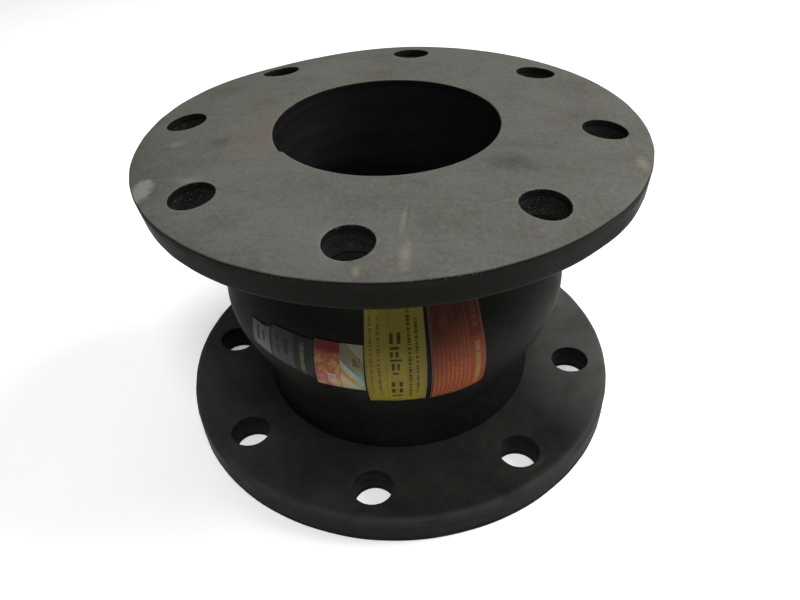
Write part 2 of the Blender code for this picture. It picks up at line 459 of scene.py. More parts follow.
def seam_radius(height):
    """Where the inner plies end and the outer plies begin."""
    low = bore_radius(height) + TUBE
    return low + PLY_SHARE * (cover_radius(height) - COVER - low)


def band_rows(low, high):
    """Evenly spaced heights, about a row apart."""
    count = max(4, round((high - low) / ROW)) + 1
    return np.linspace(low, high, count)


def wrap_marks(angle, height):
    """Depth of the groove that the cure wrap pressed into the cover, a slow spiral."""
    phase = (height / WRAP_PITCH + angle / (2 * math.pi)) % 1.0
    return WRAP_DEPTH * np.exp(-(np.minimum(phase, 1 - phase) / WRAP_WIDTH) ** 2)


def band_shell(low, high, inner, outer, marks=False):
    """A closed ring of rubber between two surfaces. The wrap's marks fade near the flanges."""
    heights = band_rows(low, high)
    angle = 2 * math.pi * np.arange(AROUND) / AROUND
    fade = swell(heights, MIDDLE - FLANGE) * marks
    rings = [circle(outer(height) - wrap_marks(angle, height) * share, height)
             for height, share in zip(heights, fade)]
    rings += [circle(inner(height), height) for height in heights[::-1]]
    return loft(rings, closed=True)


def band_ranges():
    """(index, lower body, upper body, low, high) of each band, from the bottom up."""
    low = BAND_START
    for index, (before, after, high) in enumerate(BANDS):
        yield index, before, after, low, high
        low = high


def build_layer(name, node, inner, outer, material, marks=False):
    """One layer of the flexible body, in a band for each joint."""
    for index, before, after, low, high in band_ranges():
        points, faces = band_shell(low, high, inner, outer, marks)
        piece = new_piece(f"{name}_band_{index + 1}", points, faces, None, material,
                          (node,), attributes={"edge": np.full(len(points), FAR)}, sharp=50)
        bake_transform(piece)


def build_body(materials):
    build_layer("cover", "body_cover", lambda h: cover_radius(h) - COVER, cover_radius,
                materials["cover"], marks=True)
    build_layer("tube", "body_tube", bore_radius, lambda h: bore_radius(h) + TUBE,
                materials["tube"])
    build_layer("inner_plies", "body_inner_plies",
                lambda h: bore_radius(h) + TUBE + HAIR, seam_radius,
                materials["ply"])
    build_layer("outer_plies", "body_outer_plies", outer_ply_radius,
                lambda h: cover_radius(h) - COVER - HAIR, materials["ply"])


def ring_spots():
    """(node, height, centre radius) of each steel ring, as the CAD has them."""
    for node in ("lower_neck_ring", "lower_arch_ring", "upper_arch_ring", "upper_neck_ring"):
        low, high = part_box(node)
        yield node, (low.z + high.z) / 2, high.x - WIRE_RADIUS


def outer_ply_radius(height):
    """The outer plies' inner face, pushed out round each steel ring."""
    radius = float(seam_radius(height)) + HAIR
    for _, spot, centre in ring_spots():
        if abs(height - spot) < WIRE * 0.9:
            radius = max(radius, centre + WIRE * 0.62)
    return radius


def build_rings(material):
    """Round wires inside the body, one for each steel ring that the CAD has."""
    turns = np.arange(WIRE_SIDES) * 2 * math.pi / WIRE_SIDES
    for node, height, centre in ring_spots():
        rings = [circle(centre + WIRE_RADIUS * math.cos(turn), height + WIRE_RADIUS * math.sin(turn))
                 for turn in turns]
        points, faces = loft(rings, closed=True)
        for _, before, after, low, high in band_ranges():
            if low <= height < high:
                ring = new_piece(f"{node}_bar", points, faces, None, material, (node,))
                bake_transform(ring)


# ---------------------------------------------------------------- labels

LABEL_LIFT = 0.12 * MM
LABEL_THICK = 0.28 * MM


def label_piece(node, material, curl, start, end, low, high):
    """A printed label on the cover, cut where the bands meet. start, end, low and high are
    functions: its sides' angles up the label, and its edges' heights across it. Its lower
    corners stand off by curl."""
    across = np.linspace(0, 1, LABEL_COLUMNS)
    middle_low = float(np.mean([low(a) for a in across]))
    middle_high = float(np.mean([high(a) for a in across]))
    for index, before, after, band_low, band_high in band_ranges():
        if middle_high <= band_low + MM or middle_low >= band_high - MM:
            continue
        points, prints = [], []
        rows = max(4, round((min(middle_high, band_high) - max(middle_low, band_low)) / ROW)) + 1
        for lift in (LABEL_LIFT, LABEL_LIFT + LABEL_THICK):
            for row in np.linspace(0, 1, rows):
                for a in across:
                    bottom = low(a) if middle_low > band_low else band_low
                    top = high(a) if middle_high < band_high else band_high
                    height = bottom + (top - bottom) * row
                    share = (height - middle_low) / (middle_high - middle_low)
                    angle = math.radians(start(share) + (end(share) - start(share)) * a)
                    corner = curl * math.exp(-12 * min(a, 1 - a) - 9 * abs(share))
                    radius = float(cover_radius(height)) + lift + corner
                    points.append((radius * math.cos(angle), radius * math.sin(angle), height))
                    prints.append((a, share))
        piece = new_piece(f"{node}_{index + 1}", points, label_faces(LABEL_COLUMNS, rows), None,
                          material, (node,),
                          attributes=dict(zip(("across", "up"), zip(*prints))))
        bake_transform(piece)


def label_faces(columns, rows):
    """Quads of the two sheets and of the thin edge round them."""
    faces = []
    sheet = columns * rows
    for side in (0, sheet):
        for row in range(rows - 1):
            for column in range(columns - 1):
                first = side + row * columns + column
                faces.append((first, first + 1, first + columns + 1, first + columns))
    border = list(range(columns))
    border += [row * columns + columns - 1 for row in range(1, rows)]
    border += [(rows - 1) * columns + column for column in range(columns - 2, -1, -1)]
    border += [row * columns for row in range(rows - 2, 0, -1)]
    for here, there in zip(border, border[1:] + border[:1]):
        faces.append((here, there, there + sheet, here + sheet))
    return faces


def build_labels(materials):
    """Angles are in degrees about the pipe axis. They grow to the right, as the photo sees them."""
    label_piece("identity_label", materials["identity_label"], 0.25 * MM,
                lambda up: -130.3 - 0.7 * up, lambda up: -106.3,
                lambda a: (74.8 - 5.6 * a) * MM, lambda a: (87.0 + 2.9 * ease(a, 0.25, 0.45)) * MM)
    label_piece("colour_label", materials["colour_label"], 0.2 * MM,
                lambda up: -106.0, lambda up: -90.9, lambda a: 66.4 * MM, lambda a: 90.9 * MM)
    label_piece("yellow_label", materials["yellow_label"], 0.3 * MM,
                lambda up: -90.4 - 0.5 * up ** 2, lambda up: -73.1 + 0.5 * up,
                lambda a: (56.8 + 0.25 * math.sin(9 * a)) * MM, lambda a: 110.4 * MM)
    label_piece("orange_label", materials["orange_label"], 0.3 * MM,
                lambda up: -71.6, orange_side,
                lambda a: (56.4 + 3.6 * a ** 5) * MM, lambda a: 110.4 * MM)


def orange_side(share):
    """The right side bellies out a little, and its lower corner is round."""
    corner = max(0.0, 0.13 - share) / 0.13
    return -54.2 - 0.6 * math.sin(3.0 * max(0.0, share)) - 2.6 * corner ** 2.5


def ease(value, low, high):
    """0 below low and 1 above high, turning smoothly between them."""
    share = min(max((value - low) / (high - low), 0.0), 1.0)
    return share * share * (3 - 2 * share)


# ---------------------------------------------------------------- materials

class Paint:
    """A material's node tree, with short names for what every finish here needs."""

    def __init__(self, name, roughness, specular=0.5, metallic=0.0):
        self.material = bpy.data.materials.new(name)
        self.material.use_nodes = True
        self.tree = self.material.node_tree
        self.shader = self.tree.nodes["Principled BSDF"]
        self.shader.inputs["Roughness"].default_value = roughness
        self.shader.inputs["Specular IOR Level"].default_value = specular
        self.shader.inputs["Metallic"].default_value = metallic

    def plug(self, socket, value):
        """Link a socket to another node's output, or set it to a constant."""
        if isinstance(value, bpy.types.NodeSocket):
            self.tree.links.new(value, socket)
        elif value is not None:
            socket.default_value = value

    def node(self, kind, **inputs):
        node = self.tree.nodes.new(f"ShaderNode{kind}")
        for name, value in inputs.items():
            self.plug(node.inputs[name], value)
        return node

    def attribute(self, name, output="Fac"):
        node = self.node("Attribute")
        node.attribute_name = name
        return node.outputs[output]

    def place(self, scale=(1, 1, 1), turn=0.0):
        """Rest place in metres, turned about the pipe axis and times a scale for each axis."""
        spin = self.node("VectorRotate", Vector=self.attribute("place", "Vector"), Angle=turn)
        spin.rotation_type = "Z_AXIS"
        return self.node("Mapping", Vector=spin.outputs[0], Scale=scale).outputs["Vector"]

    def scratches(self, turn, fineness):
        """1 on thin broken lines that run one way, 0 elsewhere."""
        line = self.noise(self.place((fineness, 9, 1), turn), 1.0, 2.0, 0.5)
        line = self.ramp(line, 0.70, 0.74)
        return self.times(line, self.ramp(self.noise(self.place(), 55.0), 0.45, 0.6))

    def noise(self, vector, scale, detail=4.0, rough=0.55, distortion=0.0):
        node = self.node("TexNoise", Vector=vector, Scale=scale, Detail=detail, Roughness=rough,
                         Distortion=distortion)
        return node.outputs["Fac"]

    def cells(self, vector, scale):
        """How far each point is from the nearest of many scattered spots."""
        return self.node("TexVoronoi", Vector=vector, Scale=scale).outputs["Distance"]

    def math(self, operation, *values):
        node = self.node("Math")
        node.operation = operation
        for socket, value in zip(node.inputs, values):
            self.plug(socket, value)
        return node.outputs[0]

    def times(self, first, second):
        return self.math("MULTIPLY", first, second)

    def ramp(self, value, low, high, start=0.0, end=1.0):
        """start at low and end at high, straight between and level outside."""
        ends = {"From Min": low, "From Max": high, "To Min": start, "To Max": end}
        return self.node("MapRange", Value=value, **ends).outputs["Result"]

    def mix(self, share, first, second):
        node = self.node("Mix")
        node.data_type = "RGBA"
        for socket, value in ((0, share), (6, first), (7, second)):
            self.plug(node.inputs[socket], value)
        return node.outputs[2]

    def coat(self, color, share, strength, ink):
        """A colour under ink, which covers it by share times strength."""
        return self.mix(self.times(share, strength), color, ink)

    def vector(self, operation, first, second=None):
        node = self.node("VectorMath")
        node.operation = operation
        self.plug(node.inputs[0], first)
        self.plug(node.inputs[3 if operation == "SCALE" else 1], second)
        return node.outputs["Value" if operation == "LENGTH" else "Vector"]

    def shade(self, color, share):
        """A colour dimmed to a share of itself."""
        return self.vector("SCALE", color, share)

    def normal(self):
        return self.node("NewGeometry").outputs["Normal"]

    def axis(self, vector, index):
        return self.node("SeparateXYZ", Vector=vector).outputs[index]

    def patch(self, spot, radius, softness=1.0, stretch=(1, 1, 1), breakup=0.5):
        """1 inside a ragged blot round a spot, 0 outside it."""
        place = self.attribute("place", "Vector")
        shift = self.vector("MULTIPLY", self.vector("SUBTRACT", place, spot), stretch)
        ragged = self.noise(place, 260.0, 5.0, 0.7)
        push = self.math("MULTIPLY_ADD", ragged, 2 * breakup * radius, -breakup * radius)
        reach = self.math("ADD", self.vector("LENGTH", shift), push)
        return self.ramp(reach, radius, radius * (1 - 0.9 * softness))

    def bump(self, height, distance, strength=1.0, before=None):
        node = self.node("Bump", Strength=strength, Distance=distance, Height=height,
                         Normal=before)
        return node.outputs["Normal"]

    def finish(self, color=None, roughness=None, normal=None):
        self.plug(self.shader.inputs["Base Color"], color)
        self.plug(self.shader.inputs["Roughness"], roughness)
        self.plug(self.shader.inputs["Normal"], normal)
        return self.material


def tint(level, red=1.0, green=1.0, blue=1.0):
    """A grey level with a share of it for each channel."""
    return (level * red, level * green, level * blue, 1.0)


def facing_material():
    """Weathered rubber on the sealing faces: dusty, streaked, stained and chipped."""
    paint = Paint("facing_rubber", 0.8, 0.12)
    spots = paint.place()
    broad = paint.noise(spots, 13.0, 3.0, 0.5, 0.4)
    cloud = paint.noise(spots, 62.0, 5.0, 0.62)
    streaks = paint.noise(paint.place((30, 260, 1)), 1.0, 3.0, 0.6)
    drag = paint.noise(paint.place((420, 46, 1)), 1.0, 2.0, 0.6)
    grain = paint.noise(spots, 1500.0, 3.0, 0.62)
    speckle = paint.noise(spots, 560.0, 3.0, 0.6)
    hue = paint.noise(spots, 34.0, 3.0, 0.6)
    color = paint.mix(paint.ramp(broad, 0.35, 0.68), tint(0.077, 1, 0.98, 0.80),
                      tint(0.104, 1, 1.0, 0.88))
    for pattern, low, high, share, ink in (
        (hue, 0.50, 0.66, 0.60, tint(0.092, 1.07, 0.95, 0.82)),
        (hue, 0.48, 0.34, 0.60, tint(0.090, 0.98, 1.01, 0.88)),
        (speckle, 0.46, 0.72, 0.50, tint(0.127, 1, 0.99, 0.89)),
        (speckle, 0.44, 0.24, 0.50, tint(0.050, 1, 0.98, 0.90)),
        (cloud, 0.45, 0.75, 0.50, tint(0.118, 1, 0.99, 0.90)),
        (cloud, 0.45, 0.25, 0.45, tint(0.058, 1, 0.97, 0.88)),
        (streaks, 0.55, 0.78, 0.30, tint(0.050, 1, 1, 0.95)),
        (drag, 0.58, 0.80, 0.22, tint(0.126, 1, 0.98, 0.93)),
    ):
        color = paint.mix(paint.ramp(pattern, low, high, 0.0, share), color, ink)
    for turn, fineness in ((0.2, 900), (1.1, 1100), (2.4, 1000)):
        color = paint.coat(color, paint.scratches(turn, fineness), 0.35, tint(0.17, 1, 0.98, 0.9))
    color = paint.mix(paint.ramp(grain, 0.45, 0.72, 0.0, 0.32), color, tint(0.043, 1, 0.98, 0.9))
    # Stains and scuffs: place on the top face, radius, stretch, strength and colour
    brown, olive, dark = tint(0.104, 1.08, 0.86, 0.68), tint(0.076, 1, 0.93, 0.62), tint(0.04)
    pale, chalk = tint(0.216, 1.05, 0.94, 0.66), tint(0.173, 1, 1, 0.95)
    for spot, radius, stretch, share, ink in (
        ((-0.052, -0.011), 0.015, (1.0, 0.5), 0.60, brown),
        ((-0.060, -0.028), 0.010, (1.0, 1.0), 0.40, brown),
        ((-0.065, 0.021), 0.013, (1.0, 0.9), 0.45, olive),
        ((-0.090, 0.038), 0.012, (0.8, 1.0), 0.55, olive),
        ((-0.071, -0.024), 0.006, (1.0, 1.0), 0.45, dark),
        ((0.056, -0.036), 0.0095, (0.8, 1.0), 0.62, dark),
        ((0.063, -0.040), 0.006, (1.0, 1.0), 0.35, dark),
        ((0.056, -0.020), 0.009, (0.6, 1.6), 0.22, dark),
        ((0.022, -0.056), 0.007, (1.0, 1.3), 0.22, dark),
        ((0.0175, -0.080), 0.0012, (0.9, 0.09), 0.38, pale),
        ((0.0205, -0.101), 0.0040, (1.4, 0.5), 0.50, pale),
        ((0.0050, -0.109), 0.0030, (1.5, 0.8), 0.45, pale),
        ((0.107, -0.028), 0.0045, (1.3, 0.6), 0.50, pale),
        ((-0.091, -0.024), 0.0050, (0.8, 1.2), 0.45, chalk),
        ((-0.073, -0.056), 0.0045, (0.7, 1.4), 0.45, chalk),
    ):
        blot = paint.patch((*spot, HEIGHT), radius, 1.0, (*stretch, 1), 0.7)
        color = paint.coat(color, blot, share, ink)
    scuff = paint.patch((-0.092, -0.0620, HEIGHT), 0.0080, 0.5, (1.25, 0.75, 1), 0.9)
    color = paint.coat(color, scuff, 0.85, tint(0.20, 1, 1, 0.95))

    edge = paint.attribute("edge")
    worn = paint.times(paint.ramp(edge, 0.0016, 0.0003), paint.ramp(cloud, 0.4, 0.7))
    color = paint.coat(color, worn, 0.4, tint(0.144, 1, 0.98, 0.9))
    flat = paint.ramp(paint.math("ABSOLUTE", paint.axis(paint.normal(), 2)), 0.45, 0.9)
    color = paint.mix(flat, tint(0.0036, 1, 1.03, 0.85), color)
    crumb = paint.times(paint.ramp(paint.cells(spots, 800.0), 0.30, 0.14),
                        paint.ramp(edge, 0.0014, 0.0002))
    torn = paint.patch((HOLE_SIDE, -HOLE_SIDE, HEIGHT), 0.016, 0.6)
    crumb = paint.times(crumb, paint.math("MAXIMUM", paint.ramp(broad, 0.52, 0.62), torn))
    color = paint.coat(color, crumb, 0.75, tint(0.216, 1, 0.97, 0.88))
    normal = paint.bump(grain, 0.00014, 0.6)
    normal = paint.bump(streaks, 0.0002, 0.25, normal)
    normal = paint.bump(cloud, 0.0004, 0.2, normal)
    return paint.finish(color, paint.ramp(cloud, 0.3, 0.8, 0.72, 0.92), normal)


def cover_material():
    """Black outer rubber: faint mottling, dust that settled on what faces up and rubbed edges, with
    painted light and shade: a paler coat towards the far right, a highlight along the lower
    flange's rim, and shade under and on the upper flange.
    """
    paint = Paint("cover_rubber", 0.6, 0.05)
    spots = paint.place()
    east, north, height = (paint.axis(spots, index) for index in range(3))
    cloud = paint.noise(spots, 40.0, 5.0, 0.6, 0.3)
    fine = paint.noise(spots, 380.0, 4.0, 0.6)
    grain = paint.noise(spots, 1700.0, 2.0, 0.6)
    up = paint.ramp(paint.axis(paint.normal(), 2), 0.20, 0.92)
    soft = paint.ramp(cloud, 0.35, 0.7)
    color = paint.mix(soft, tint(0.0048, 1, 1.02, 0.84), tint(0.0105, 1, 1.02, 0.84))
    mottle = paint.times(paint.ramp(fine, 0.44, 0.72, 0.0, 0.5),
                         paint.ramp(up, 0.0, 1.0, 1.0, 0.25))
    color = paint.mix(mottle, color, tint(0.0165, 1, 1.02, 0.9))
    for turn, fineness in ((0.5, 700), (1.9, 800)):
        color = paint.coat(color, paint.scratches(turn, fineness), 0.2, tint(0.035, 1, 1, 0.94))

    # Dust on what faces up, paler towards the left; towards the far right the coat is painted light,
    # paler where the key lamp falls
    dust_and_light = paint.times(up, paint.ramp(cloud, 0.3, 0.72, 0.5, 1.0))
    left = paint.ramp(east, -0.07, 0.01, 0.34, 0.06)
    far_right = paint.math("MULTIPLY_ADD", north, 0.6, paint.times(east, 0.8))
    # Painted light: the coat is paler towards the far right, where the key lamp falls
    dust_and_light_share = paint.math("MAXIMUM", left, paint.ramp(far_right, 0.036, 0.098, 0.06, 1.0))
    color = paint.coat(color, dust_and_light, dust_and_light_share, tint(0.100, 1.0, 1.0, 0.93))
    color = paint.coat(color, up, paint.ramp(fine, 0.5, 0.75, 0.0, 0.12),
                       tint(0.030, 1.02, 1, 0.93))

    # Painted shade: darker from 0.083 m up, under and on the upper flange; on its rim painted darker
    # still, and browner
    color = paint.shade(color, paint.ramp(height, 0.083, 0.095, 1.0, 0.46))
    # Painted shade on the upper flange's rim, in a darker and browner colour
    aged_and_shaded = paint.mix(soft, tint(0.0026, 1, 1.06, 0.40), tint(0.0042, 1, 1.04, 0.45))
    color = paint.mix(paint.ramp(height, 0.1375, 0.1385, 0.0, 0.85), color, aged_and_shaded)

    # Edges rubbed pale, with a painted highlight along them, mostly the lower flange's rim
    rubbed_and_highlight = paint.times(paint.ramp(paint.attribute("edge"), 0.0040, 0.0010),
                         paint.ramp(cloud, 0.3, 0.65, 0.3, 1.0))
    rubbed_and_highlight = paint.times(rubbed_and_highlight, paint.ramp(height, 0.130, 0.137, 1.0, 0.12))
    radius_squared = paint.math("MULTIPLY_ADD", east, east, paint.times(north, north))
    rubbed_and_highlight = paint.times(rubbed_and_highlight, paint.ramp(radius_squared, 0.0110, 0.0116, 0.05, 1.0))
    # Rubbed wear and a painted highlight on the edges
    color = paint.coat(color, rubbed_and_highlight, 0.6, tint(0.052, 1, 1, 0.95))
    specks = paint.times(paint.ramp(paint.cells(spots, 420.0), 0.10, 0.05),
                         paint.ramp(cloud, 0.52, 0.66))
    color = paint.coat(color, specks, paint.ramp(up, 0.0, 0.5, 0.45, 0.0), tint(0.07))
    normal = paint.bump(grain, 0.00010, 0.5)
    normal = paint.bump(fine, 0.0003, 0.25, normal)
    return paint.finish(color, paint.ramp(cloud, 0.3, 0.75, 0.48, 0.68), normal)


def tube_material():
    """Smooth black tube rubber, slightly streaked round the bore."""
    paint = Paint("tube_rubber", 0.7, 0.12)
    cloud = paint.noise(paint.place((30, 30, 160)), 1.0, 4.0, 0.6)
    grain = paint.noise(paint.place(), 1500.0, 2.0, 0.5)
    color = paint.mix(paint.ramp(cloud, 0.35, 0.7), tint(0.0055), tint(0.0095))
    return paint.finish(color, paint.ramp(cloud, 0.3, 0.75, 0.6, 0.8),
                        paint.bump(grain, 0.0001, 0.4))


def ply_material():
    """Woven fabric skimmed with rubber, seen in the bolt holes: threads in rows."""
    paint = Paint("rubbered_fabric", 0.85, 0.12)
    spots = paint.place()
    thread = paint.cells(paint.place((900, 900, 1100)), 1.0)
    cloud = paint.noise(spots, 160.0, 4.0, 0.6)
    color = paint.mix(paint.ramp(thread, 0.3, 0.65), tint(0.016, 1, 0.97, 0.9), tint(0.007))
    color = paint.mix(paint.ramp(cloud, 0.62, 0.8, 0.0, 0.5), color, tint(0.055, 1, 0.98, 0.9))
    flecks = paint.ramp(paint.cells(spots, 620.0), 0.22, 0.12)
    for side in (-1, 1):
        torn = paint.patch((HOLE_SIDE * side, -HOLE_SIDE, HEIGHT - 6 * MM), 0.013, 0.5)
        torn = paint.times(torn, flecks)
        color = paint.coat(color, torn, 0.7, tint(0.16, 1, 0.98, 0.86))
    return paint.finish(color, 0.85, paint.bump(thread, 0.0003, 0.6))


def steel_material():
    """Drawn ring steel with a little surface rust."""
    paint = Paint("ring_steel", 0.4, 0.5, 1.0)
    cloud = paint.noise(paint.place(), 240.0, 5.0, 0.65)
    color = paint.mix(paint.ramp(cloud, 0.5, 0.75), tint(0.45), (0.24, 0.13, 0.07, 1.0))
    return paint.finish(color, paint.ramp(cloud, 0.4, 0.8, 0.3, 0.7),
                        paint.bump(cloud, 0.0002, 0.4))


class Label:
    """A label's paint, with shapes printed by the place across it and up it, from 0 to 1."""

    def __init__(self, name):
        self.paint = Paint(name, 0.5, 0.08)
        self.across = self.paint.attribute("across")
        self.up = self.paint.attribute("up")
        spots = self.paint.place()
        self.soft = self.paint.noise(spots, 90.0, 4.0, 0.6)
        self.grain = self.paint.noise(spots, 900.0, 3.0, 0.6)

    def normal(self):
        """Creased paper with a fine grain."""
        crumpled = self.paint.bump(self.soft, 0.0006, 0.35)
        return self.paint.bump(self.grain, 0.00008, 0.4, crumpled)

    def tone(self, low, high):
        """The paper's own colour, which drifts softly between two."""
        return self.paint.mix(self.paint.ramp(self.soft, 0.3, 0.75), low, high)

    def block(self, left, right, low, high):
        """1 inside a rectangle, 0 outside it."""
        side = self.paint.math("COMPARE", self.across, (left + right) / 2, (right - left) / 2)
        tall = self.paint.math("COMPARE", self.up, (low + high) / 2, (high - low) / 2)
        return self.paint.times(side, tall)

    def words(self, left, right, low, high, pitch, seed, share):
        """A line of made-up print that runs up the label, broken into short dashes."""
        along = self.paint.math("MULTIPLY_ADD", self.up, pitch, seed)
        node = self.paint.node("TexNoise", Scale=1.0, Detail=2.0)
        node.noise_dimensions = "1D"
        self.paint.plug(node.inputs["W"], along)
        dash = self.paint.math("GREATER_THAN", node.outputs["Fac"], share)
        return self.paint.times(self.block(left, right, low, high), dash)

    def ink(self, color, shape, strength, ink):
        """A shape printed over a colour, and worn by the paper's grain."""
        worn = self.paint.ramp(self.grain, 0.3, 0.5, 0.75 * strength, strength)
        return self.paint.coat(color, shape, worn, ink)

    def soiled_and_shaded(self, color, level=0.25, top=0.5):
        """Grime along the edges and in soft blots, the label dimmed unevenly to a third to a half,
        and painted shade that darkens it more up to its top, under the upper flange.
        """
        paint = self.paint
        uneven_dimming = paint.ramp(self.soft, 0.3, 0.75, 0.54, 0.36)
        # Dimmed unevenly, and painted shade: darker up to the top, to the share top of the colour
        color = paint.shade(color, paint.times(uneven_dimming, paint.ramp(self.up, 0.10, 0.85, 1.0, top)))
        side = paint.math("ABSOLUTE", paint.math("SUBTRACT", self.across, 0.5))
        edges = paint.math("MAXIMUM", paint.ramp(side, 0.43, 0.5), paint.ramp(self.up, 0.05, 0.0))
        dirt = paint.times(edges, paint.ramp(self.soft, 0.3, 0.7, 0.2, 0.8))
        dirt = paint.math("MAXIMUM", dirt, paint.ramp(self.soft, 0.6, 0.85, 0.0, 0.5))
        return paint.mix(dirt, color, tint(level * 0.25, 1, 0.95, 0.8))

    def ribs(self, count):
        """Fine uneven ribs that run up the label, as a height from 0 to 1."""
        spread = self.paint.node("CombineXYZ", X=self.paint.times(self.across, float(count)),
                                 Y=self.paint.times(self.up, 1.6))
        ribs = self.paint.noise(spread.outputs[0], 1.0, 3.0, 0.6)
        return self.paint.ramp(ribs, 0.32, 0.66)


def yellow_material():
    """Yellow paper with a column of big bars and thin lines of dashes on both sides."""
    label = Label("yellow_print")
    paint, normal = label.paint, label.normal()
    color = label.tone(tint(0.42, 1, 0.78, 0.10), tint(0.50, 1, 0.84, 0.15))
    wave = label.ribs(34)
    color = paint.coat(color, wave, 0.5, tint(0.24, 1, 0.75, 0.08))
    dark = tint(0.022, 1, 0.9, 0.5)
    for left, right, low, high, pitch, seed, strength in (
        (0.07, 0.12, 0.14, 0.92, 52.0, 3.1, 0.50),
        (0.20, 0.25, 0.10, 0.86, 48.0, 9.4, 0.55),
        (0.70, 0.755, 0.08, 0.95, 54.0, 1.7, 0.80),
        (0.825, 0.875, 0.12, 0.84, 50.0, 7.9, 0.75),
    ):
        dashes = label.words(left, right, low, high, pitch, seed, 0.47)
        color = label.ink(color, dashes, strength, dark)
    for low, high, left, right in (
        (0.650, 0.735, 0.41, 0.47), (0.650, 0.735, 0.53, 0.59), (0.605, 0.628, 0.41, 0.56),
        (0.545, 0.588, 0.41, 0.46), (0.545, 0.588, 0.50, 0.55), (0.508, 0.526, 0.41, 0.60),
        (0.428, 0.488, 0.43, 0.48), (0.428, 0.488, 0.52, 0.56), (0.384, 0.402, 0.44, 0.54),
        (0.238, 0.300, 0.41, 0.47), (0.238, 0.300, 0.54, 0.60), (0.150, 0.213, 0.41, 0.47),
        (0.150, 0.213, 0.54, 0.60), (0.088, 0.110, 0.41, 0.60),
    ):
        color = label.ink(color, label.block(left, right, low, high), 0.9, dark)
    # Grime, and painted shade up to the top, lighter here than on the other labels
    color = label.soiled_and_shaded(color, top=0.70)
    return paint.finish(color, 0.5, paint.bump(wave, 0.00012, 0.5, normal))


def orange_material():
    """Red-orange paper under rows of broken pale lines, with a strip of blots on the right."""
    label = Label("orange_print")
    paint, normal = label.paint, label.normal()
    color = label.tone(tint(0.42, 1, 0.17, 0.055), tint(0.54, 1, 0.24, 0.08))
    left_strip = label.block(-0.1, 0.035, -1, 2)
    color = paint.mix(left_strip, color, tint(0.16, 1, 0.16, 0.10))
    pale = tint(0.66, 1, 0.46, 0.20)
    lines = 9
    for line in range(lines):
        left = 0.045 + 0.70 * line / lines
        dashes = label.words(left, left + 0.034, -0.1, 1.1, 70.0, 2.3 + 4.7 * line, 0.42)
        color = label.ink(color, dashes, 0.62, pale)
    color = paint.mix(label.block(0.74, 1.1, 0.60, 0.86), color, tint(0.30, 1, 0.13, 0.09))
    gold = tint(0.60, 1, 0.66, 0.24)
    strip = label.words(0.80, 0.90, 0.06, 0.56, 30.0, 12.6, 0.36)
    color = label.ink(color, strip, 0.8, gold)
    strip = label.words(0.80, 0.90, 0.66, 0.98, 34.0, 19.0, 0.46)
    color = label.ink(color, strip, 0.5, gold)
    # Painted shade: the paper darkens towards its top left, under the upper flange
    shade = paint.math("ADD", label.up, paint.times(label.across, -0.35))
    color = paint.mix(paint.ramp(shade, 0.15, 0.62, 0.0, 0.9), color, tint(0.060, 1, 0.30, 0.22))
    color = label.soiled_and_shaded(color)
    wave = label.ribs(30)
    # Ribs, faded towards the top so that they don't lighten the painted shade there
    ribs_fading_into_shade = paint.times(wave, paint.ramp(label.up, 0.5, 0.95, 0.45, 0.10))
    color = paint.mix(ribs_fading_into_shade, color, tint(0.16, 1, 0.22, 0.10))
    return paint.finish(color, 0.5, paint.bump(wave, 0.00012, 0.5, normal))


def colour_material():
    """Red, orange and pink on the left; cream with slanting stripes on the right."""
    label = Label("red_print")
    paint, normal = label.paint, label.normal()
    blot = paint.noise(paint.place(), 210.0, 3.0, 0.65)
    warm = paint.mix(paint.ramp(label.up, 0.45, 0.36), tint(0.60, 1, 0.30, 0.13),
                     tint(0.62, 1, 0.30, 0.30))
    warm = paint.mix(paint.ramp(blot, 0.50, 0.60), warm, tint(0.75, 1, 0.66, 0.22))
    warm = paint.mix(paint.ramp(label.up, 0.76, 0.84), warm, tint(0.36, 1, 0.12, 0.12))
    bars = label.words(0.26, 0.44, 0.12, 0.36, 38.0, 6.1, 0.46)
    warm = label.ink(warm, bars, 0.8, tint(0.80, 1, 0.92, 0.82))

    slant = paint.math("ADD", label.up, paint.times(label.across, 1.04))
    cream = paint.mix(paint.ramp(blot, 0.45, 0.62), tint(0.66, 1, 0.90, 0.56),
                      tint(0.70, 0.86, 1, 0.76))
    for centre, half, ink in (
        (1.52, 0.18, tint(0.40, 1, 0.84, 0.42)),
        (1.31, 0.040, tint(0.36, 0.62, 0.86, 0.90)),
        (1.23, 0.035, tint(0.72, 0.92, 1, 0.90)),
        (1.04, 0.065, tint(0.62, 1, 0.62, 0.16)),
        (0.90, 0.030, tint(0.80, 1, 0.86, 0.44)),
    ):
        stripe = paint.math("COMPARE", slant, centre, half)
        cream = paint.coat(cream, stripe, 0.9, ink)
    green = paint.times(paint.ramp(label.across, 0.78, 0.9), paint.ramp(label.up, 0.55, 0.35))
    cream = paint.coat(cream, green, 0.7, tint(0.62, 0.66, 1, 0.72))
    rust = paint.times(label.block(0.78, 0.94, 0.58, 0.78), paint.ramp(blot, 0.4, 0.5))
    cream = paint.coat(cream, rust, 0.8, tint(0.26, 1, 0.40, 0.26))
    color = paint.mix(paint.math("GREATER_THAN", label.across, 0.54), warm, cream)
    return paint.finish(label.soiled_and_shaded(color), 0.5, normal)


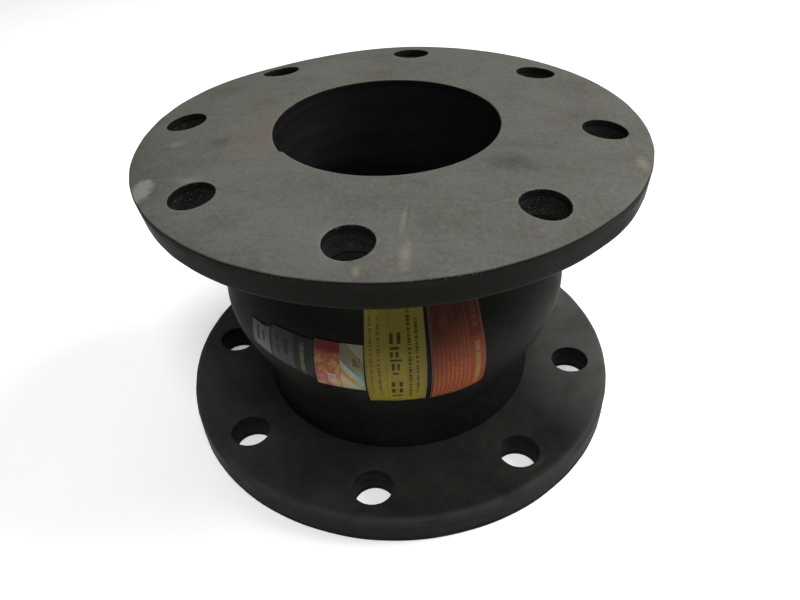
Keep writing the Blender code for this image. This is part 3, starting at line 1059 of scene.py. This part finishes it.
def identity_material():
    """Three cells: a white one, a grey one and a dark one, with bars for their figures."""
    label = Label("grey_print")
    paint, normal = label.paint, label.normal()
    color = label.tone(tint(0.030), tint(0.045))
    fibres = paint.ramp(label.grain, 0.35, 0.7)
    for left, right, low, high in (
        (-0.1, 0.333, tint(0.20, 1, 1.02, 0.98), tint(0.29)),
        (0.374, 0.722, tint(0.075, 1, 1.02, 0.98), tint(0.135)),
        (0.738, 1.1, tint(0.028, 1, 1.02, 0.74), tint(0.046, 1, 1.0, 0.78)),
    ):
        cell = paint.mix(fibres, low, high)
        color = paint.mix(label.block(left, right, -1, 2), color, cell)
    dark = tint(0.025)
    for left, right, low, high in (
        (0.09, 0.15, 0.34, 0.80), (0.20, 0.25, 0.44, 0.72),
        (0.45, 0.50, 0.66, 0.90), (0.45, 0.50, 0.30, 0.56), (0.57, 0.64, 0.38, 0.84),
    ):
        color = label.ink(color, label.block(left, right, low, high), 0.85, dark)
    dots = label.words(0.815, 0.875, -0.1, 0.92, 34.0, 4.4, 0.46)
    color = label.ink(color, dots, 0.85, tint(0.30, 1, 0.98, 0.74))
    return paint.finish(label.soiled_and_shaded(color, 0.1), 0.45, normal)


# ---------------------------------------------------------------- studio

def build_camera():
    """The photo's view, with the slight roll it was taken at."""
    place = Vector((0.04767, -0.29038, 0.28106))
    aim = Vector((0.00719, -0.03253, 0.07620))
    roll = math.radians(-2.75)
    lens = bpy.data.cameras.new("camera")
    lens.sensor_width = 36.0
    lens.lens = 31.12
    lens.clip_start = 0.01
    camera = bpy.data.objects.new("camera", lens)
    bpy.context.scene.collection.objects.link(camera)
    facing = (aim - place).to_track_quat("-Z", "Y").to_matrix().to_4x4()
    camera.matrix_world = Matrix.Translation(place) @ facing @ Matrix.Rotation(roll, 4, "Z")
    bpy.context.scene.camera = camera


def add_light(name, place, aim, size, power):
    data = bpy.data.lights.new(name, "AREA")
    data.shape = "DISK"
    data.size = size
    data.energy = power
    lamp = bpy.data.objects.new(name, data)
    bpy.context.scene.collection.objects.link(lamp)
    turn = (Vector(aim) - Vector(place)).to_track_quat("-Z", "Y").to_matrix().to_4x4()
    lamp.matrix_world = Matrix.Translation(place) @ turn


def build_studio():
    """A pale floor that glows a little, three lamps and a dim white world."""
    mesh = bpy.data.meshes.new("floor")
    corners = [(x * FLOOR_SIDE, y * FLOOR_SIDE, 0) for x, y in ((-1, -1), (1, -1), (1, 1), (-1, 1))]
    mesh.from_pydata(corners, [], [(0, 1, 2, 3)])
    floor = bpy.data.objects.new("floor", mesh)
    bpy.context.scene.collection.objects.link(floor)
    paint = Paint("pale_floor", 0.9, 0.1)
    paint.shader.inputs["Emission Color"].default_value = (1.0, 1.0, 1.0, 1.0)
    paint.shader.inputs["Emission Strength"].default_value = 0.30
    paint.finish((0.94, 0.94, 0.94, 1.0))
    mesh.materials.append(paint.material)

    middle = (0, 0, MIDDLE)
    add_light("key", (1.0, 0.35, 1.05), middle, 0.9, 20.0)
    add_light("front", (0.18, -0.66, 1.36), middle, 0.45, 10.0)
    add_light("overhead", (-0.3, 0.5, 1.4), middle, 1.4, 6.0)

    world = bpy.data.worlds.new("studio")
    world.use_nodes = True
    bpy.context.scene.world = world
    background = world.node_tree.nodes["Background"]
    background.inputs["Color"].default_value = (1.0, 1.0, 1.0, 1.0)
    background.inputs["Strength"].default_value = 0.12
    bpy.context.scene.view_settings.view_transform = "Standard"


def main():
    build_camera()
    materials = {
        "facing": facing_material(),
        "cover": cover_material(),
        "tube": tube_material(),
        "ply": ply_material(),
        "identity_label": identity_material(),
        "colour_label": colour_material(),
        "yellow_label": yellow_material(),
        "orange_label": orange_material(),
    }
    for end in ("lower", "upper"):
        build_flange(end, materials)
    build_body(materials)
    build_rings(steel_material())
    build_labels(materials)
    build_studio()


main()
